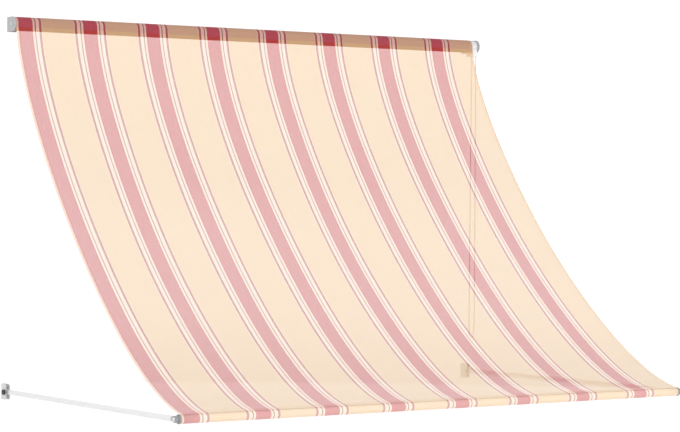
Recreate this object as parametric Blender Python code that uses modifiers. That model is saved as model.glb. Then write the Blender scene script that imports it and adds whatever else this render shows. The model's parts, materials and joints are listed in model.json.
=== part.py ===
"""Drop-arm fabric awning with a cord-driven roller, modelled at real size in metres.

The wall is the plane Y = 0, the awning reaches out towards -Y, and Z is up.
The origin is on the wall, midway between the two arm pivots and at their height.
At rest the awning is let down: the arms stand out level and the cloth hangs from the roller to the front bar.
"""

import math

import bmesh
import bpy
from mathutils import Matrix, Vector

# Whole awning
CLOTH_WIDTH = 2.300
ROLLER_HEIGHT = 1.520
ROLLER_OUT = 0.055
PIVOT_OUT = 0.045
ARM_LENGTH = 1.500
ARM_REST_DEG = 1.0

# Running gap between pieces that touch on the real awning
GAP = 0.0003

# Broken edges of turned pieces
CHAMFER = 0.001

# Cloth
CLOTH_THICK = 0.0007
WIND_PITCH = 0.00105
ROLLER_TURNS = 3.0
HEM_TURNS = 2.4
DRAPE_TOP_DEG = 5.5
DRAPE_TOP_PULL = 0.400
DRAPE_FOOT_DEG = 9.5
DRAPE_FOOT_PULL = 0.530
LAP_DEG = 80.0
HEM_LAP_DEG = 14.0

# Tubes
ROLLER_DIAMETER = 0.050
ROLLER_WALL = 0.0015
ROLLER_TUBE_PAST_CLOTH = 0.001
BAR_DIAMETER = 0.028
BAR_WALL = 0.0012
BAR_PAST_CLOTH = 0.002
ARM_DIAMETER = 0.022
ARM_WALL = 0.0012

# Roller ends
PLUG_FLANGE_DIAMETER = 0.047
PLUG_FLANGE_THICK = 0.0018
PLUG_DEPTH = 0.032
PLUG_RIB_WIDTH = 0.004
PIN_DIAMETER = 0.012
PIN_LENGTH = 0.024
PIN_HEAD_DIAMETER = 0.018
PIN_HEAD_THICK = 0.002
PIN_HEAD_CHAMFER = 0.0005
RUNNING_FIT = 0.0001
PLUG_CORE_STEP = 0.0025
PLUG_WAIST_DEPTH = 0.0045
PLUG_RIB_SLOPE = 0.002
PLUG_TIP_CHAMFER = 0.0015
PLUG_FLANGE_CHAMFER = 0.0006
END_PLAY = 0.001

# Upper wall brackets
BRACKET_SHEET = 0.003
BRACKET_BEND = 0.005
UPPER_HEIGHT = 0.061
UPPER_REACH = 0.092
UPPER_FLANGE = 0.040
SCREW_HOLE_DIAMETER = 0.0054
UPPER_HOLE_SPREAD = 0.036
UPPER_HOLE_FROM_CHEEK = 0.022

# Cord drive at the right end of the roller
PULLEY_DIAMETER = 0.036
PULLEY_WIDTH = 0.009
PULLEY_GROOVE_DEPTH = 0.003
PULLEY_GROOVE_MOUTH = 0.0065
PULLEY_GROOVE_FOOT = 0.0018
DRIVE_SHAFT_DIAMETER = 0.014
DRIVE_HEX = 0.011
DRIVE_HEX_LENGTH = 0.020
HOUSING_RADIUS = 0.0255
HOUSING_CHIN = 0.047
HOUSING_CHIN_WIDTH = 0.045
HOUSING_CHIN_CORNER = 0.004
HOUSING_EDGE = 0.0012
HOUSING_SCREW_DIAMETER = 0.003
HOUSING_SCREW_HEAD = 0.0062
HOUSING_SCREW_HEAD_HEIGHT = 0.0024
HOUSING_SCREW_LENGTH = 0.012
HOUSING_SCREW_ANGLES = (35.0, 145.0)
PULLEY_CLEAR = 0.0015
KEY_CHAMFER = 0.0008

# Operating cord
CORD_DIAMETER = 0.004
CORD_STEPS = 60
CORD_CLEAR = 0.003
CORD_BEND_WEIGHT = 0.30

# Lower wall brackets and arm feet
LOWER_HEIGHT = 0.064
LOWER_REACH = 0.053
LOWER_CORNER = 0.012
LOWER_HOLE_SPREAD = 0.042
LOWER_BEND = 0.001
TONGUE_THICK = 0.009
WASHER_THICK = 0.0016
WASHER_DIAMETER = 0.020
PIVOT_BOLT_DIAMETER = 0.008
PIVOT_HEAD_ACROSS = 0.013
PIVOT_HEAD_THICK = 0.0053
FOOT_COLLAR_CLEAR = 0.0016
FOOT_COLLAR_LENGTH = 0.010
FOOT_COLLAR_CHAMFER = 0.002
TONGUE_OVERLAP = 0.003
TONGUE_TAPER = 0.92
TONGUE_EDGE = 0.0008
SPIGOT_LENGTH = 0.030
KNOB_DIAMETER = 0.024
KNOB_THICK = 0.011
KNOB_LOBES = 6
KNOB_LOBE_DEPTH = 0.0022
KNOB_EDGE = 0.0018
KNOB_BOSS_DIAMETER = 0.015
KNOB_BOSS_HEIGHT = 0.003
KNOB_BORE_DEPTH = 0.009
WASHER_EDGE = 0.0004
BOLT_END_CHAMFER = 0.0006

# Corner pieces that join the front bar to the arms
CORNER_CAP_DIAMETER = 0.036
CORNER_CAP_THICK = 0.0065
CORNER_HUB_DIAMETER = 0.025
CORNER_TO_TUBE = 0.024
CORNER_CAP_EDGE = 0.002
CORNER_HUB_EDGE = 0.0015
CORNER_NECK_STEP = 0.0002
BAR_BOLT_DIAMETER = 0.006
BAR_BOLT_HEAD_DIAMETER = 0.020
BAR_BOLT_HEAD_THICK = 0.007
BAR_BOLT_RIM = 0.002
BAR_BOLT_LENGTH = 0.046

# Facets round each turned piece
TUBE_SIDES = 32
SMALL_SIDES = 20
DRILL_SIDES = 16
WIND_STEPS = 32

# Places that follow from the sizes above
HALF_CLOTH = CLOTH_WIDTH / 2
BAR_HALF = HALF_CLOTH + BAR_PAST_CLOTH
CORNER_FACE = BAR_HALF + GAP
ARM_X = CORNER_FACE + ARM_DIAMETER / 2
CORNER_OUTER = CORNER_FACE + ARM_DIAMETER
ROLLER_HALF = HALF_CLOTH + ROLLER_TUBE_PAST_CLOTH
PLUG_FACE = ROLLER_HALF + GAP
PLUG_OUTER = PLUG_FACE + PLUG_FLANGE_THICK
ROLL_INNER = ROLLER_DIAMETER / 2 + GAP
ROLL_OUTER = ROLL_INNER + WIND_PITCH * ROLLER_TURNS + CLOTH_THICK
HEM_INNER = BAR_DIAMETER / 2 + GAP
HEM_OUTER = HEM_INNER + WIND_PITCH * HEM_TURNS + CLOTH_THICK
ARM_REST = math.radians(ARM_REST_DEG)
PIVOT = Vector((0, -PIVOT_OUT, 0))
ARM_ALONG = Vector((0, -math.cos(ARM_REST), math.sin(ARM_REST)))
ROLLER_AXIS = Vector((0, -ROLLER_OUT, ROLLER_HEIGHT))
BAR_AXIS = PIVOT + ARM_ALONG * ARM_LENGTH
LEFT_CHEEK = PLUG_OUTER + GAP
PULLEY_X = CORNER_OUTER + CORD_CLEAR + CORD_DIAMETER / 2
HOUSING_INNER = LEFT_CHEEK
CAVITY_DEPTH = PULLEY_WIDTH + 2 * GAP
CAVITY_FROM = PULLEY_X - CAVITY_DEPTH / 2
HOUSING_OUTER = CAVITY_FROM + CAVITY_DEPTH
RIGHT_CHEEK = HOUSING_OUTER + GAP
CAVITY_RADIUS = PULLEY_DIAMETER / 2 + PULLEY_CLEAR
HOUSING_SCREW_RADIUS = (CAVITY_RADIUS + HOUSING_RADIUS) / 2
CORD_HALF_SPREAD = PULLEY_DIAMETER / 2 - PULLEY_GROOVE_DEPTH + CORD_DIAMETER / 2
CHIN_FOOT = ROLLER_HEIGHT - HOUSING_CHIN
CHEEK_GAP = TONGUE_THICK / 2 + WASHER_THICK + 2 * GAP
CHEEK_OUTER = CHEEK_GAP + BRACKET_SHEET
FOOT_COLLAR_FROM = LOWER_HEIGHT / 2 + FOOT_COLLAR_CLEAR

LEFT, RIGHT = -1, 1

# The operating cord's route below the housing: how far each point lies in front of (+) or behind (-)
# the roller axis, and its height above the arm pivots. It is a slack loop that narrows at the outlet.
CORD_ROUTE = (
    (0.0170, 1.4800),
    (0.0170, 1.4500),
    (0.0173, 1.3900),
    (0.0177, 1.2600),
    (0.0183, 1.1000),
    (0.0189, 0.9200),
    (0.0195, 0.7400),
    (0.0200, 0.5600),
    (0.0204, 0.4000),
    (0.0205, 0.2800),
    (0.0200, 0.2150),
    (0.0168, 0.1810),
    (0.0098, 0.1625),
    (0.0000, 0.1565),
    (-0.0098, 0.1625),
    (-0.0168, 0.1810),
    (-0.0200, 0.2150),
    (-0.0205, 0.2800),
    (-0.0204, 0.4000),
    (-0.0200, 0.5600),
    (-0.0195, 0.7400),
    (-0.0189, 0.9200),
    (-0.0183, 1.1000),
    (-0.0177, 1.2600),
    (-0.0173, 1.3900),
    (-0.0170, 1.4500),
    (-0.0170, 1.4800),
)

PARTS = "fabric_awning"
CUTTERS = "awning_cutters"


def clear_scene():
    for old in list(bpy.data.objects):
        bpy.data.objects.remove(old, do_unlink=True)


def make_collection(name):
    group = bpy.data.collections.new(name)
    bpy.context.scene.collection.children.link(group)
    return group


def material(name, colour, roughness, metallic=0.0):
    made = bpy.data.materials.new(name)
    made.use_nodes = True
    shader = made.node_tree.nodes["Principled BSDF"]
    shader.inputs["Base Color"].default_value = (*colour, 1.0)
    shader.inputs["Roughness"].default_value = roughness
    shader.inputs["Metallic"].default_value = metallic
    return made


def white_paint(name):
    return material(name, (0.83, 0.84, 0.85), 0.42)


def zinc(name):
    return material(name, (0.62, 0.62, 0.64), 0.34, 0.9)


def black_plastic(name):
    return material(name, (0.02, 0.02, 0.021), 0.46)


def white_plastic(name):
    return material(name, (0.80, 0.80, 0.79), 0.38)


def cloth_finish(name):
    return material(name, (0.80, 0.52, 0.28), 0.88)


def place(piece, finish, cutter=False):
    """Puts a piece in its collection and gives it its material, or marks it as a cutter."""
    for group in list(piece.users_collection):
        group.objects.unlink(piece)
    bpy.data.collections[CUTTERS if cutter else PARTS].objects.link(piece)
    if cutter:
        piece.hide_render = True
        piece.display_type = "WIRE"
    elif finish is not None:
        piece.data.materials.clear()
        piece.data.materials.append(finish(piece.name))
    return piece


def as_mesh(piece):
    """Turns a curve or a piece with modifiers into a plain closed mesh in world space."""
    bpy.context.view_layer.update()
    evaluated = piece.evaluated_get(bpy.context.evaluated_depsgraph_get())
    mesh = bpy.data.meshes.new_from_object(evaluated)
    mesh.transform(piece.matrix_world)
    welded = bmesh.new()
    welded.from_mesh(mesh)
    bmesh.ops.remove_doubles(welded, verts=welded.verts, dist=0.00001)
    bmesh.ops.recalc_face_normals(welded, faces=welded.faces)
    welded.to_mesh(mesh)
    welded.free()
    name = piece.name
    bpy.data.objects.remove(piece, do_unlink=True)
    solid = bpy.data.objects.new(name, mesh)
    bpy.context.scene.collection.objects.link(solid)
    return solid


def smooth(piece, angle_deg=35.0):
    piece.data.shade_smooth()
    piece.data.set_sharp_from_angle(angle=math.radians(angle_deg))
    return piece


def turned(name, profile, sides, axis="X", at=(0, 0, 0), turn=None):
    """A closed profile of (radius, position along the axis) turned with a Screw modifier."""
    mesh = bpy.data.meshes.new(name)
    outline = bmesh.new()
    points = [outline.verts.new((radius, 0, along)) for radius, along in profile]
    for start, end in zip(points, points[1:]):
        outline.edges.new((start, end))
    if profile[0][0] > 0:
        outline.edges.new((points[-1], points[0]))
    outline.to_mesh(mesh)
    outline.free()
    piece = bpy.data.objects.new(name, mesh)
    bpy.context.scene.collection.objects.link(piece)
    screw = piece.modifiers.new("Screw", "SCREW")
    screw.steps = sides
    screw.render_steps = sides
    screw.use_merge_vertices = True
    screw.merge_threshold = 0.00001
    if axis == "X":
        piece.rotation_euler = (0, math.pi / 2, 0)
    if turn is not None:
        piece.rotation_euler = turn
    piece.location = at
    return smooth(as_mesh(piece))


def ring(inner, outer, start, end, chamfer=0.0):
    """Profile of a tube wall from start to end along its axis."""
    if chamfer <= 0:
        return [(outer, end), (outer, start), (inner, start), (inner, end)]
    return [
        (outer - chamfer, end),
        (outer, end - chamfer),
        (outer, start + chamfer),
        (outer - chamfer, start),
        (inner, start),
        (inner, end),
    ]


def disc(radius, start, end, chamfer=0.0):
    """Profile of a solid cylinder from start to end along its axis."""
    return [
        (0, end),
        (radius - chamfer, end),
        (radius, end - chamfer),
        (radius, start + chamfer),
        (radius - chamfer, start),
        (0, start),
    ]


def domed(radius, face, rim, height):
    """Profile of a domed head from its top to its underside: a straight rim below an elliptic dome."""
    steps = 4
    points = [(0, face + height)]
    for step in range(1, steps + 1):
        angle = math.pi / 2 * (1 - step / steps)
        points.append((radius * math.cos(angle), face + rim + (height - rim) * math.sin(angle)))
    if rim > 0:
        points.append((radius, face))
    return points


def facing(profile, side):
    """Mirrors a right-hand profile along its axis for the left-hand piece."""
    if side == LEFT:
        return [(radius, -along) for radius, along in reversed(profile)]
    return profile


def rounded(corners, steps=4):
    """Rounds each (x, y, radius) corner of a closed outline with an arc."""
    points = []
    count = len(corners)
    for index, (x, y, radius) in enumerate(corners):
        here = Vector((x, y))
        if radius <= 0:
            points.append(here)
            continue
        before = (Vector(corners[index - 1][:2]) - here).normalized()
        after = (Vector(corners[(index + 1) % count][:2]) - here).normalized()
        half = before.angle(after) / 2
        reach = radius / math.tan(half)
        centre = here + (before + after).normalized() * (radius / math.sin(half))
        start = here + before * reach - centre
        sweep = start.angle_signed(here + after * reach - centre)
        for step in range(steps + 1):
            turn = -sweep * step / steps
            points.append(centre + Matrix.Rotation(turn, 2) @ start)
    return points


def plate(name, outline, thickness, frame=None, bevel=0.0):
    """A flat outline given thickness: a filled 2D curve, extruded both ways from its middle plane."""
    curve = bpy.data.curves.new(name, "CURVE")
    curve.dimensions = "2D"
    curve.fill_mode = "BOTH"
    curve.extrude = thickness / 2
    spline = curve.splines.new("POLY")
    spline.points.add(len(outline) - 1)
    for point, (x, y) in zip(spline.points, outline):
        point.co = (x, y, 0, 1)
    spline.use_cyclic_u = True
    piece = bpy.data.objects.new(name, curve)
    bpy.context.scene.collection.objects.link(piece)
    if frame is not None:
        piece.matrix_world = frame
    solid = as_mesh(piece)
    if bevel > 0:
        edges = solid.modifiers.new("Bevel", "BEVEL")
        edges.width = bevel
        edges.segments = 1
        edges.limit_method = "ANGLE"
        edges.angle_limit = math.radians(50)
        solid = as_mesh(solid)
    return smooth(solid)


def side_frame(x):
    """Frame whose flat outline lies in the plane X = x: its own x runs out from the wall, its y runs up."""
    return Matrix(((0, 0, 1, x), (-1, 0, 0, 0), (0, 1, 0, 0), (0, 0, 0, 1)))


def top_frame(z):
    """Frame whose flat outline lies in the plane Z = z: its x runs along X, its y out from the wall."""
    return Matrix(((1, 0, 0, 0), (0, -1, 0, 0), (0, 0, -1, z), (0, 0, 0, 1)))


def combine(piece, other, operation):
    """Joins, cuts or keeps the overlap of two closed meshes with an exact Boolean."""
    step = piece.modifiers.new(operation.title(), "BOOLEAN")
    step.operation = operation
    step.solver = "EXACT"
    step.object = other
    place(other, None, cutter=True)
    result = as_mesh(piece)
    bpy.data.objects.remove(other, do_unlink=True)
    return smooth(result)


def hole(piece, centre, radius, length, axis="X", sides=DRILL_SIDES):
    """Drills a round hole through a piece."""
    drill = turned("drill", disc(radius, -length / 2, length / 2), sides, axis=axis, at=centre)
    return combine(piece, drill, "DIFFERENCE")


def hung(piece, pivot_empty):
    """Parents a piece to the empty on its joint's axis and keeps it where it is."""
    piece.parent = pivot_empty
    piece.matrix_parent_inverse = pivot_empty.matrix_world.inverted()
    return piece


def axis_empty(name, at):
    empty = bpy.data.objects.new(name, None)
    empty.location = at
    empty.empty_display_size = 0.05
    bpy.data.collections[PARTS].objects.link(empty)
    bpy.context.view_layer.update()
    return empty


def finished(piece, name, finish, pivot_empty=None):
    piece.name = name
    piece.data.name = name
    place(piece, finish)
    if pivot_empty is not None:
        hung(piece, pivot_empty)
    return piece


def tube_along_x(name, diameter, wall, half_length, centre):
    profile = ring(diameter / 2 - wall, diameter / 2, -half_length, half_length)
    return turned(name, profile, TUBE_SIDES, at=centre)


def along_arm(name, profile, x, sides):
    """Turns a profile about an arm's centre line, with distances counted from the arm's pivot."""
    tilt = (math.pi / 2 - ARM_REST, 0, 0)
    return turned(name, profile, sides, axis="Z", at=(x, PIVOT.y, PIVOT.z), turn=tilt)


def arm_frame(x):
    """Frame in the plane X = x whose own x runs along the arm from its pivot and whose y is square to it."""
    lift = Vector((0, math.sin(ARM_REST), math.cos(ARM_REST)))
    return Matrix(
        (
            (0, 0, 1, x),
            (ARM_ALONG.y, lift.y, 0, PIVOT.y),
            (ARM_ALONG.z, lift.z, 0, PIVOT.z),
            (0, 0, 0, 1),
        )
    )


def drape_ends():
    """The tangent points where the cloth leaves the roll and where it meets the hem, as (out, up)."""
    top = math.radians(DRAPE_TOP_DEG)
    foot = math.radians(DRAPE_FOOT_DEG)
    roll = ROLL_OUTER + GAP + CLOTH_THICK / 2
    hem = HEM_OUTER + GAP + CLOTH_THICK / 2
    leaves = Vector((ROLLER_OUT + roll * math.cos(top), ROLLER_HEIGHT + roll * math.sin(top)))
    meets = Vector((-BAR_AXIS.y + hem * math.sin(foot), BAR_AXIS.z + hem * math.cos(foot)))
    return leaves, meets


def drape_line(steps=56):
    """Middle line of the hanging cloth as (out, up): a lap over the roll, the sag, a lap on the hem."""
    top = math.radians(DRAPE_TOP_DEG)
    foot = math.radians(DRAPE_FOOT_DEG)
    leaves, meets = drape_ends()
    roll_centre = Vector((ROLLER_OUT, ROLLER_HEIGHT))
    bar_centre = Vector((-BAR_AXIS.y, BAR_AXIS.z))
    line = []
    lap_steps = 12
    for step in range(lap_steps):
        back = math.radians(LAP_DEG) * (1 - step / lap_steps)
        line.append(roll_centre + Matrix.Rotation(back, 2) @ (leaves - roll_centre))
    pull_down = leaves + Vector((math.sin(top), -math.cos(top))) * DRAPE_TOP_PULL
    pull_back = meets - Vector((math.cos(foot), -math.sin(foot))) * DRAPE_FOOT_PULL
    for step in range(steps + 1):
        t = step / steps
        s = 1 - t
        line.append(
            leaves * s**3 + pull_down * (3 * s * s * t) + pull_back * (3 * s * t * t) + meets * t**3
        )
    hem_steps = 3
    for step in range(1, hem_steps + 1):
        onward = -math.radians(HEM_LAP_DEG) * step / hem_steps
        line.append(bar_centre + Matrix.Rotation(onward, 2) @ (meets - bar_centre))
    return line


def wound_line(centre, inner, turns, end_deg):
    """Middle line of cloth wound on a tube as (out, up), ending on its outermost turn at end_deg."""
    count = round(turns * WIND_STEPS)
    line = []
    for step in range(count + 1):
        share = step / count
        angle = math.radians(end_deg) + 2 * math.pi * turns * (1 - share)
        radius = inner + CLOTH_THICK / 2 + WIND_PITCH * turns * share
        line.append(Vector(centre) + Vector((math.cos(angle), math.sin(angle))) * radius)
    return line


def cloth_strip(name, line, half_width):
    """Sweeps a middle line across the awning's width and gives it the cloth's thickness."""
    mesh = bpy.data.meshes.new(name)
    strip = bmesh.new()
    points = [strip.verts.new((-half_width, -out, up)) for out, up in line]
    edges = [strip.edges.new(pair) for pair in zip(points, points[1:])]
    swept = bmesh.ops.extrude_edge_only(strip, edges=edges)
    moved = [item for item in swept["geom"] if isinstance(item, bmesh.types.BMVert)]
    bmesh.ops.translate(strip, verts=moved, vec=(2 * half_width, 0, 0))
    strip.to_mesh(mesh)
    strip.free()
    piece = bpy.data.objects.new(name, mesh)
    bpy.context.scene.collection.objects.link(piece)
    shell = piece.modifiers.new("Solidify", "SOLIDIFY")
    shell.thickness = CLOTH_THICK
    shell.offset = 0
    shell.use_even_offset = True
    return smooth(as_mesh(piece))


def build_cloth(roller_empty, arms_empty):
    awning = cloth_strip("awning_cloth", drape_line(), HALF_CLOTH)
    finished(awning, "awning_cloth", cloth_finish)

    roll_line = wound_line((ROLLER_OUT, ROLLER_HEIGHT), ROLL_INNER, ROLLER_TURNS, DRAPE_TOP_DEG)
    roll = cloth_strip("cloth_roll", roll_line, HALF_CLOTH)
    finished(roll, "cloth_roll", cloth_finish, roller_empty)

    hem_end_deg = 90 - DRAPE_FOOT_DEG - HEM_LAP_DEG
    hem_line = wound_line((-BAR_AXIS.y, BAR_AXIS.z), HEM_INNER, HEM_TURNS, hem_end_deg)
    hem = cloth_strip("hem_sleeve", hem_line, HALF_CLOTH)
    finished(hem, "hem_sleeve", cloth_finish, arms_empty)


def plug_body(name, side):
    """A roller end plug: a flange against the tube's end and a ribbed body inside it."""
    bore = ROLLER_DIAMETER / 2 - ROLLER_WALL - GAP
    core = bore - PLUG_CORE_STEP
    waist = core - PLUG_WAIST_DEPTH
    flange = PLUG_FLANGE_DIAMETER / 2
    first_rib = PLUG_FACE - PLUG_RIB_WIDTH
    last_rib = PLUG_FACE - PLUG_DEPTH
    profile = [
        (0, PLUG_OUTER),
        (flange - PLUG_FLANGE_CHAMFER, PLUG_OUTER),
        (flange, PLUG_OUTER - PLUG_FLANGE_CHAMFER),
        (flange, PLUG_FACE),
        (bore, PLUG_FACE),
        (bore, first_rib),
        (waist, first_rib - PLUG_RIB_SLOPE),
        (waist, last_rib + PLUG_RIB_WIDTH),
        (bore, last_rib + PLUG_RIB_WIDTH),
        (bore, last_rib + PLUG_TIP_CHAMFER),
        (core, last_rib),
        (0, last_rib),
    ]
    return turned(name, facing(profile, side), TUBE_SIDES, at=ROLLER_AXIS)


def build_roller(roller_empty):
    tube = tube_along_x("roller_tube", ROLLER_DIAMETER, ROLLER_WALL, ROLLER_HALF, ROLLER_AXIS)
    finished(tube, "roller_tube", zinc, roller_empty)

    left = plug_body("roller_plug_left", LEFT)
    pin_depth = PIN_LENGTH + END_PLAY
    bore_at = ROLLER_AXIS + Vector((-PLUG_OUTER, 0, 0))
    left = hole(left, bore_at, PIN_DIAMETER / 2 + RUNNING_FIT, 2 * pin_depth, sides=TUBE_SIDES)
    finished(left, "roller_plug_left", black_plastic, roller_empty)

    right = plug_body("roller_plug_right", RIGHT)
    socket_across = (DRIVE_HEX / 2 + GAP) / math.cos(math.pi / 6)
    socket_depth = DRIVE_HEX_LENGTH + END_PLAY
    socket = turned(
        "drive_socket",
        disc(socket_across, -socket_depth, socket_depth),
        6,
        at=ROLLER_AXIS + Vector((PLUG_OUTER, 0, 0)),
    )
    right = combine(right, socket, "DIFFERENCE")
    finished(right, "roller_plug_right", black_plastic, roller_empty)


def upper_outline():
    """Side view of an upper bracket as (out, up): square at the wall with a half-round nose."""
    half = UPPER_HEIGHT / 2
    nose = UPPER_REACH - half
    points = [Vector((0, -half))]
    steps = 16
    for step in range(steps + 1):
        angle = -math.pi / 2 + math.pi * step / steps
        points.append(Vector((nose + half * math.cos(angle), half * math.sin(angle))))
    points.append(Vector((0, half)))
    return [point + Vector((0, ROLLER_HEIGHT)) for point in points]


def upper_bracket(name, side, cheek):
    """Bent sheet: a cheek square to the wall and a flange that turns in behind the roller."""
    inner = side * cheek
    outer = side * (cheek + BRACKET_SHEET)
    flange_end = side * (cheek - UPPER_FLANGE)
    corners = [
        (outer, 0, BRACKET_BEND + BRACKET_SHEET),
        (outer, UPPER_REACH, 0),
        (inner, UPPER_REACH, 0),
        (inner, BRACKET_SHEET, BRACKET_BEND),
        (flange_end, BRACKET_SHEET, 0),
        (flange_end, 0, 0),
    ]
    bent = plate(name, rounded(corners), UPPER_HEIGHT, top_frame(ROLLER_HEIGHT))
    width = 2 * (UPPER_FLANGE + 2 * BRACKET_SHEET)
    nose = plate("upper_nose", upper_outline(), width, side_frame(inner))
    bent = combine(bent, nose, "INTERSECT")
    hole_x = side * (cheek - UPPER_HOLE_FROM_CHEEK)
    for lift in (-UPPER_HOLE_SPREAD / 2, UPPER_HOLE_SPREAD / 2):
        centre = (hole_x, 0, ROLLER_HEIGHT + lift)
        bent = hole_through_wall(bent, centre)
    return bent


def hole_through_wall(piece, centre):
    """Drills a wall-screw hole along Y."""
    length = 4 * BRACKET_SHEET
    drill = turned(
        "wall_screw_drill",
        disc(SCREW_HOLE_DIAMETER / 2, -length / 2, length / 2),
        SMALL_SIDES,
        axis="Z",
        at=centre,
        turn=(math.pi / 2, 0, 0),
    )
    return combine(piece, drill, "DIFFERENCE")


def build_upper_brackets():
    left = upper_bracket("upper_bracket_left", LEFT, LEFT_CHEEK)
    pin_hole_at = ROLLER_AXIS + Vector((-LEFT_CHEEK, 0, 0))
    left = hole(left, pin_hole_at, PIN_DIAMETER / 2 + GAP, 4 * BRACKET_SHEET, sides=SMALL_SIDES)
    finished(left, "upper_bracket_left", white_paint)

    right = upper_bracket("upper_bracket_right", RIGHT, RIGHT_CHEEK)
    for angle_deg in HOUSING_SCREW_ANGLES:
        centre = housing_screw_place(angle_deg, RIGHT_CHEEK)
        right = hole(right, centre, HOUSING_SCREW_DIAMETER / 2 + GAP, 4 * BRACKET_SHEET)
    finished(right, "upper_bracket_right", white_paint)

    head_face = -(LEFT_CHEEK + BRACKET_SHEET + GAP)
    pin_end = head_face + PIN_LENGTH + BRACKET_SHEET
    head_top = head_face - PIN_HEAD_THICK
    pin_radius = PIN_DIAMETER / 2
    head_radius = PIN_HEAD_DIAMETER / 2
    profile = [
        (0, pin_end),
        (pin_radius - CHAMFER, pin_end),
        (pin_radius, pin_end - CHAMFER),
        (pin_radius, head_face),
        (head_radius, head_face),
        (head_radius, head_top + PIN_HEAD_CHAMFER),
        (head_radius - PIN_HEAD_CHAMFER, head_top),
        (0, head_top),
    ]
    pin = turned("idle_pin", profile, TUBE_SIDES, at=ROLLER_AXIS)
    finished(pin, "idle_pin", zinc)


def housing_screw_place(angle_deg, x):
    """Centre of a housing screw: on a circle about the roller axis, in the plane X = x."""
    angle = math.radians(angle_deg)
    reach = HOUSING_SCREW_RADIUS
    return ROLLER_AXIS + Vector((x, -reach * math.cos(angle), reach * math.sin(angle)))


def housing_outline():
    """Side view of the drive housing as (out, up): a round body with a chin where the cord leaves."""
    half_chin = HOUSING_CHIN_WIDTH / 2
    join = -math.sqrt(HOUSING_RADIUS**2 - half_chin**2)
    start = math.atan2(join, half_chin)
    end = math.pi - start
    steps = 24
    points = []
    for step in range(steps + 1):
        angle = start + (end - start) * step / steps
        points.append((HOUSING_RADIUS * math.cos(angle), HOUSING_RADIUS * math.sin(angle), 0))
    corner = HOUSING_CHIN_CORNER
    chin = [(-half_chin, -HOUSING_CHIN, corner), (half_chin, -HOUSING_CHIN, corner)]
    centre = Vector((ROLLER_OUT, ROLLER_HEIGHT))
    return [point + centre for point in rounded(points + chin)]


def build_drive(roller_empty):
    depth = HOUSING_OUTER - HOUSING_INNER
    middle = (HOUSING_OUTER + HOUSING_INNER) / 2
    housing = plate("drive_housing", housing_outline(), depth, side_frame(middle), bevel=HOUSING_EDGE)
    cavity = turned(
        "pulley_cavity",
        disc(CAVITY_RADIUS, CAVITY_FROM, HOUSING_OUTER + depth),
        TUBE_SIDES,
        at=ROLLER_AXIS,
    )
    housing = combine(housing, cavity, "DIFFERENCE")
    shaft_hole = DRIVE_SHAFT_DIAMETER / 2 + RUNNING_FIT
    shaft_at = ROLLER_AXIS + Vector((HOUSING_INNER, 0, 0))
    housing = hole(housing, shaft_at, shaft_hole, 3 * depth, sides=TUBE_SIDES)
    channel_profile = disc(CORD_DIAMETER / 2 + GAP, -HOUSING_CHIN, HOUSING_CHIN)
    for spread in (-CORD_HALF_SPREAD, CORD_HALF_SPREAD):
        centre = (PULLEY_X, -ROLLER_OUT + spread, CHIN_FOOT)
        channel = turned("cord_channel", channel_profile, DRILL_SIDES, axis="Z", at=centre)
        housing = combine(housing, channel, "DIFFERENCE")
    for angle_deg in HOUSING_SCREW_ANGLES:
        centre = housing_screw_place(angle_deg, HOUSING_OUTER)
        housing = hole(housing, centre, HOUSING_SCREW_DIAMETER / 2 + GAP, 2 * HOUSING_SCREW_LENGTH)
    finished(housing, "drive_housing", white_plastic)

    for number, angle_deg in enumerate(HOUSING_SCREW_ANGLES, start=1):
        build_housing_screw(number, angle_deg)

    rim = PULLEY_DIAMETER / 2
    half = PULLEY_WIDTH / 2
    wheel = [
        (0, PULLEY_X + half),
        (rim, PULLEY_X + half),
        (rim, PULLEY_X + PULLEY_GROOVE_MOUTH / 2),
        (rim - PULLEY_GROOVE_DEPTH, PULLEY_X + PULLEY_GROOVE_FOOT / 2),
        (rim - PULLEY_GROOVE_DEPTH, PULLEY_X - PULLEY_GROOVE_FOOT / 2),
        (rim, PULLEY_X - PULLEY_GROOVE_MOUTH / 2),
        (rim, PULLEY_X - half),
        (DRIVE_SHAFT_DIAMETER / 2, PULLEY_X - half),
        (DRIVE_SHAFT_DIAMETER / 2, PLUG_OUTER + GAP),
        (0, PLUG_OUTER + GAP),
    ]
    pulley = turned("drive_pulley", wheel, TUBE_SIDES, at=ROLLER_AXIS)
    key_radius = DRIVE_HEX / 2 / math.cos(math.pi / 6)
    key = turned(
        "drive_key",
        disc(key_radius, PLUG_OUTER - DRIVE_HEX_LENGTH, PULLEY_X, KEY_CHAMFER),
        6,
        at=ROLLER_AXIS,
    )
    pulley = combine(pulley, key, "UNION")
    finished(pulley, "drive_pulley", white_plastic, roller_empty)


def build_housing_screw(number, angle_deg):
    """A pan-head screw through the right cheek into the drive housing."""
    head_face = RIGHT_CHEEK + BRACKET_SHEET + GAP
    shank = HOUSING_SCREW_DIAMETER / 2
    screw_end = head_face - HOUSING_SCREW_LENGTH
    profile = domed(HOUSING_SCREW_HEAD / 2, head_face, 0, HOUSING_SCREW_HEAD_HEIGHT) + [
        (shank, head_face),
        (shank, screw_end + CHAMFER),
        (shank - CHAMFER, screw_end),
        (0, screw_end),
    ]
    name = f"housing_screw_{number}"
    screw = turned(name, profile, DRILL_SIDES, at=housing_screw_place(angle_deg, 0))
    finished(screw, name, zinc)


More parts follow.
